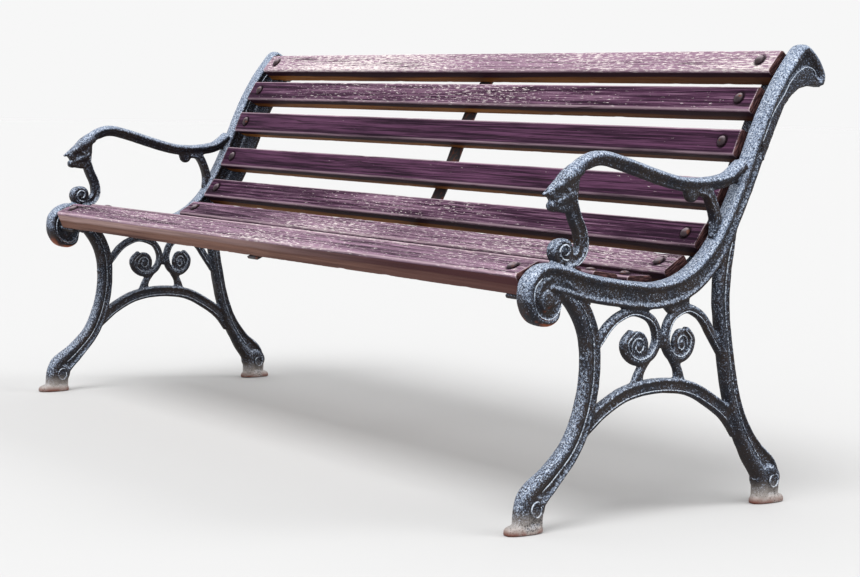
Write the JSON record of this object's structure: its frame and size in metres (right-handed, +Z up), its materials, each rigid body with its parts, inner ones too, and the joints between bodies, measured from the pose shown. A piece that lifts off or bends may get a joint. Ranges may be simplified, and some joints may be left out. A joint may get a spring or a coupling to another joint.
{
  "type": "park bench",
  "caption": "Park bench with timber slats for the seat and the back, held between cast end frames with curved legs, scrolls and armrests.",
  "frame": {"origin": "on the ground, under the middle of the bench's box", "axes": "+X along the bench to the sitter's left, +Y towards the back, +Z up; the sitter faces -Y"},
  "size_m": [1.826, 0.6674, 0.7983],
  "materials": {
    "cast_iron": "weathered black paint on sand-cast iron, pale blue-grey on worn upper faces",
    "painted_timber": "worn aubergine stain over grained hardwood, chipped and scratched",
    "bolt_steel": "weathered zinc with stain on it",
    "strap_steel": "dark paint with a little rust"
  },
  "bodies": {
    "root": {"end_frame_left": "cast_iron", "end_frame_right": "cast_iron", "seat_slat_1": "painted_timber", "seat_slat_2": "painted_timber", "seat_slat_3": "painted_timber", "seat_slat_4": "painted_timber", "seat_slat_5": "painted_timber", "back_slat_1": "painted_timber", "back_slat_2": "painted_timber", "back_slat_3": "painted_timber", "back_slat_4": "painted_timber", "back_slat_5": "painted_timber", "centre_strap": "strap_steel", "seat_slat_1_bolt_left": "bolt_steel", "seat_slat_1_bolt_right": "bolt_steel", "seat_slat_2_bolt_left": "bolt_steel", "seat_slat_2_bolt_right": "bolt_steel", "seat_slat_3_bolt_left": "bolt_steel", "seat_slat_3_bolt_right": "bolt_steel", "seat_slat_4_bolt_left": "bolt_steel", "seat_slat_4_bolt_right": "bolt_steel", "seat_slat_5_bolt_left": "bolt_steel", "seat_slat_5_bolt_right": "bolt_steel", "back_slat_1_bolt_left": "bolt_steel", "back_slat_1_bolt_right": "bolt_steel", "back_slat_2_bolt_left": "bolt_steel", "back_slat_2_bolt_right": "bolt_steel", "back_slat_3_bolt_left": "bolt_steel", "back_slat_3_bolt_right": "bolt_steel", "back_slat_4_bolt_left": "bolt_steel", "back_slat_4_bolt_right": "bolt_steel", "back_slat_5_bolt_left": "bolt_steel", "back_slat_5_bolt_right": "bolt_steel", "seat_slat_1_nut_left": "bolt_steel", "seat_slat_1_nut_right": "bolt_steel", "seat_slat_2_nut_left": "bolt_steel", "seat_slat_2_nut_right": "bolt_steel", "seat_slat_3_nut_left": "bolt_steel", "seat_slat_3_nut_right": "bolt_steel", "seat_slat_4_nut_left": "bolt_steel", "seat_slat_4_nut_right": "bolt_steel", "seat_slat_5_nut_left": "bolt_steel", "seat_slat_5_nut_right": "bolt_steel", "back_slat_1_nut_left": "bolt_steel", "back_slat_1_nut_right": "bolt_steel", "back_slat_2_nut_left": "bolt_steel", "back_slat_2_nut_right": "bolt_steel", "back_slat_3_nut_left": "bolt_steel", "back_slat_3_nut_right": "bolt_steel", "back_slat_4_nut_left": "bolt_steel", "back_slat_4_nut_right": "bolt_steel", "back_slat_5_nut_left": "bolt_steel", "back_slat_5_nut_right": "bolt_steel"}
  },
  "joints": []
}
